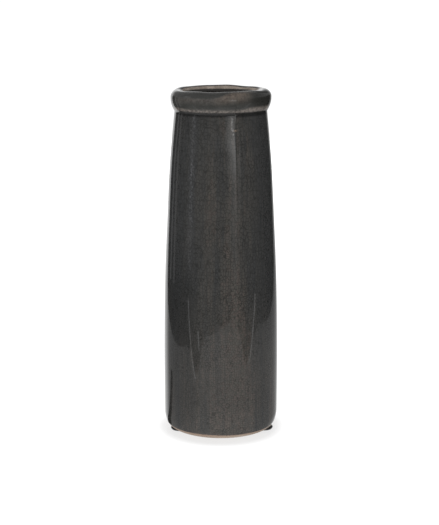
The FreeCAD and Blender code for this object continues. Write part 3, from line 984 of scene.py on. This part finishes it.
def softbox_glow(graph):
    """Glow of the softbox: a soft bell across, turned a little at its top, and dim towards the floor."""
    brightest = 1.75
    stops = (
        (0.0, 0.05), (0.40, 0.16), (0.59, 0.34), (0.685, 0.73),
        (0.766, 0.92), (0.84, 1.0), (0.92, 0.60),
    )
    x, y, z = graph.axes()
    angle = graph.math("ARCTAN2", x, graph.times(y, -1.0))
    angle = graph.math("ADD", angle, graph.step(z, 0.36, 0.45, 0.0, math.radians(4.5)))
    left = graph.step(angle, math.radians(4), math.radians(30))
    right = graph.step(angle, math.radians(41), math.radians(32))
    rise = ramp(graph, graph.math("ADD", z, -SOFTBOX_LOW), stops)
    return graph.times(left, left, right, rise, brightest)


def make_floor():
    """The plain pale floor with a soft shade round the foot, partly a painted shadow in its glow. Glossy
    surfaces mirror the cards instead.
    """
    half = 40.0
    outline = [(-half, -half), (half, -half), (half, half), (-half, half)]
    floor = make_mesh("studio_floor", level_card(outline, 0), [(0, 1, 2, 3)])
    pale, graph, shader = new_material("pale_floor", 0.9)
    shader.inputs["Base Color"].default_value = rgb(0.20, 0.20, 0.20)
    shader.inputs["Emission Color"].default_value = WHITE
    x, y, _ = graph.axes()
    reach = graph.length(x, y)
    # Painted shadow: the floor's glow is dimmer within 80 mm of the axis, over its own shading.
    graph.feed(shader.inputs["Emission Strength"], graph.step(reach, 0.060, 0.080, 0.72, 1.0))
    floor.data.materials.append(pale)
    floor.visible_glossy = False


def make_table_cards():
    """The mirrored table, bounded by what stands round it, and the backdrop behind it."""
    table = [
        BACKDROP_LEFT, (-0.48, 0.47), (-0.45, 0.10), (-0.43, -0.17), (-0.36, -0.24), (-0.235, -0.215),
        (-0.225, -0.245), (-0.285, -0.385), (-0.265, -0.505), (-0.15, -0.57), (0.0, -0.65),
        (0.17, -0.68), (0.37, -0.51), (0.26, -0.24), (0.40, -0.25),
        (0.59, -0.13), (0.58, 0.12), (0.55, 0.42), (0.60, 0.80), BACKDROP_RIGHT,
    ]
    make_card("mirrored_table", level_card(table, JUST_BELOW), glow_material("table_glow", table_glow))
    make_card("mirrored_backdrop", upright_card(BACKDROP_LEFT, BACKDROP_RIGHT, JUST_BELOW, BACKDROP_TOP),
              glow_material("backdrop_glow", backdrop_glow))


def make_raised_cards():
    """The mirrored softbox, overhead panel and window, and a small lamp in front of the softbox."""
    make_card("mirrored_softbox", upright_card((0.10, -2.1), (1.70, -1.30), SOFTBOX_LOW, 0.6),
              glow_material("softbox_glow", softbox_glow))
    overhead = [(-1.0, 1.6), (1.0, 1.6), (1.0, 2.6), (-1.0, 2.6)]
    make_card("mirrored_overhead", level_card(overhead, 2.0), glow_material("overhead_glow", 0.8))
    make_card("mirrored_window", upright_card((-2.0, -0.4), (-2.0, 0.5), 1.20, 1.75),
              glow_material("window_glow", 0.8))

    lamp_reach, lamp_low, lamp_high = 1.85, 0.491, 0.514
    lamp = [(*at_azimuth(22.5, lamp_reach), lamp_low), (*at_azimuth(26.0, lamp_reach), lamp_low),
            (*at_azimuth(29.5, lamp_reach), lamp_high), (*at_azimuth(26.0, lamp_reach), lamp_high)]
    make_card("mirrored_lamp", lamp, glow_material("lamp_glow", 3.6))


def make_line_cards():
    """Thin bright edge lines and one dark streak of painted shadow, lying just above the mirrored table."""
    thin = glow_material("edge_glow", 1.4)
    edge_lines = (
        ("left_edge_line", (-0.783, -0.341), (-0.214, -0.203), 0.009),
        ("right_edge_line", (0.863, -0.297), (0.285, -0.227), 0.010),
        ("small_edge_line", (-0.410, -0.432), (-0.297, -0.344), 0.012),
    )
    for name, far, near, width in edge_lines:
        outline = [far, near, (near[0], near[1] + width), (far[0], far[1] + width * 2.5)]
        make_card(name, level_card(outline, JUST_ABOVE), thin)
    # Painted shadow: a dark card for the vase's shadow as the glaze mirrors it.
    shadow_streak = [(-0.065, -0.016), (-0.27, 0.074), (-0.26, 0.106), (-0.062, 0.002)]
    make_card("mirrored_shadow_streak", level_card(shadow_streak, JUST_ABOVE), glow_material("painted_shadow_streak", 0.02))


def make_stands():
    """Two upright light stands at the left, behind."""
    stand = glow_material("stand_glow", 0.28)
    stand_reach, stand_width, stand_height = 0.9, 0.075, 1.2
    spread = math.degrees(stand_width / stand_reach / 2)
    for name, azimuth in (("stand_far", -124.0), ("stand_near", -110.5)):
        start = at_azimuth(azimuth - spread, stand_reach)
        end = at_azimuth(azimuth + spread, stand_reach)
        make_card(name, upright_card(start, end, 0, stand_height), stand)


def make_studio():
    """A plain pale floor, and cards that the glaze mirrors."""
    make_floor()
    make_table_cards()
    make_raised_cards()
    make_line_cards()
    make_stands()


def make_world():
    """White for the camera; for everything else a soft dome that is dim near the horizon.

    In reflections the dome brightens again well below the horizon, like a floor seen from above.
    """
    world = bpy.data.worlds.new("studio_world")
    bpy.context.scene.world = world
    world.use_nodes = True
    world.node_tree.nodes.clear()
    graph = Graph(world.node_tree)
    coords = graph.node("ShaderNodeTexCoord")
    axes = graph.node("ShaderNodeSeparateXYZ")
    graph.feed(axes.inputs[0], coords.outputs["Generated"])
    up = axes.outputs[2]
    path = graph.node("ShaderNodeLightPath")
    mirrored = graph.add(graph.step(up, 0.07, 0.25, 0.016, 0.27), graph.step(up, -0.30, -0.75, 0.0, 0.30))
    dome = graph.step(up, 0.0, 0.45, 0.20, 0.32)
    unseen = graph.pick(path.outputs["Is Glossy Ray"], dome, mirrored)
    level = graph.pick(path.outputs["Is Camera Ray"], unseen, 1.05)
    back = graph.node("ShaderNodeBackground")
    back.inputs["Color"].default_value = WHITE
    graph.feed(back.inputs["Strength"], level)
    out = graph.node("ShaderNodeOutputWorld")
    graph.feed(out.inputs["Surface"], back.outputs[0])


def make_light(name, place, size, power):
    """A large softbox aimed at the middle of the vase, unseen in reflections."""
    data = bpy.data.lights.new(name, "AREA")
    data.shape = "RECTANGLE"
    data.size, data.size_y = size
    data.energy = power
    light = bpy.data.objects.new(name, data)
    light.location = place
    aim = Vector((0, 0, TOP / 2)) - Vector(place)
    light.rotation_euler = aim.to_track_quat("-Z", "Y").to_euler()
    light.visible_camera = False
    light.visible_glossy = False
    bpy.context.scene.collection.objects.link(light)


def finish_piece(piece, material, node):
    piece.data.materials.append(material)
    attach(piece, BODY)
    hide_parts(node)


make_camera()
make_world()
make_studio()
for name, place, size, power in (
    ("front_softbox", (-0.50, -2.4, 0.9), (1.0, 1.0), 38),
    ("top_softbox", (0.0, -0.2, 2.2), (2.0, 2.0), 6),
    ("back_softbox", (0.0, 2.6, 0.7), (1.2, 1.0), 40),
    ("right_softbox", (2.4, 0.9, 0.7), (1.0, 1.0), 9),
    ("left_softbox", (-2.4, 0.9, 0.7), (1.0, 1.0), 4),
):
    make_light(name, place, size, power)

finish_piece(make_outer_glaze(), glaze_material(), "outer_glaze")
finish_piece(make_liner_glaze(), liner_material(), "liner_glaze")
finish_piece(make_clay(), clay_material(), "stoneware_body")

pad_shape = {
    "low_round": 0.3 * MM,
    "high_round": 0.3 * MM,
    "sag": 0.12 * MM,
    "bulge": 1.1 * MM,
    "edge_wave": 0.04 * MM,
}
film_shape = {
    "low_round": 0.08 * MM,
    "high_round": 0.08 * MM,
    "sag": 0.0,
    "bulge": 0.0,
    "edge_wave": 0.08 * MM,
}
rubber = rubber_material()
film = adhesive_material()
for side in SIDES:
    pad = make_disc(f"rubber_pad_{side}", f"foot_pad_{side}", **pad_shape)
    finish_piece(pad, rubber, f"foot_pad_{side}")
    disc = make_disc(f"adhesive_disc_{side}", f"pad_adhesive_{side}", **film_shape)
    finish_piece(disc, film, f"pad_adhesive_{side}")

bpy.context.scene.view_settings.view_transform = "Standard"
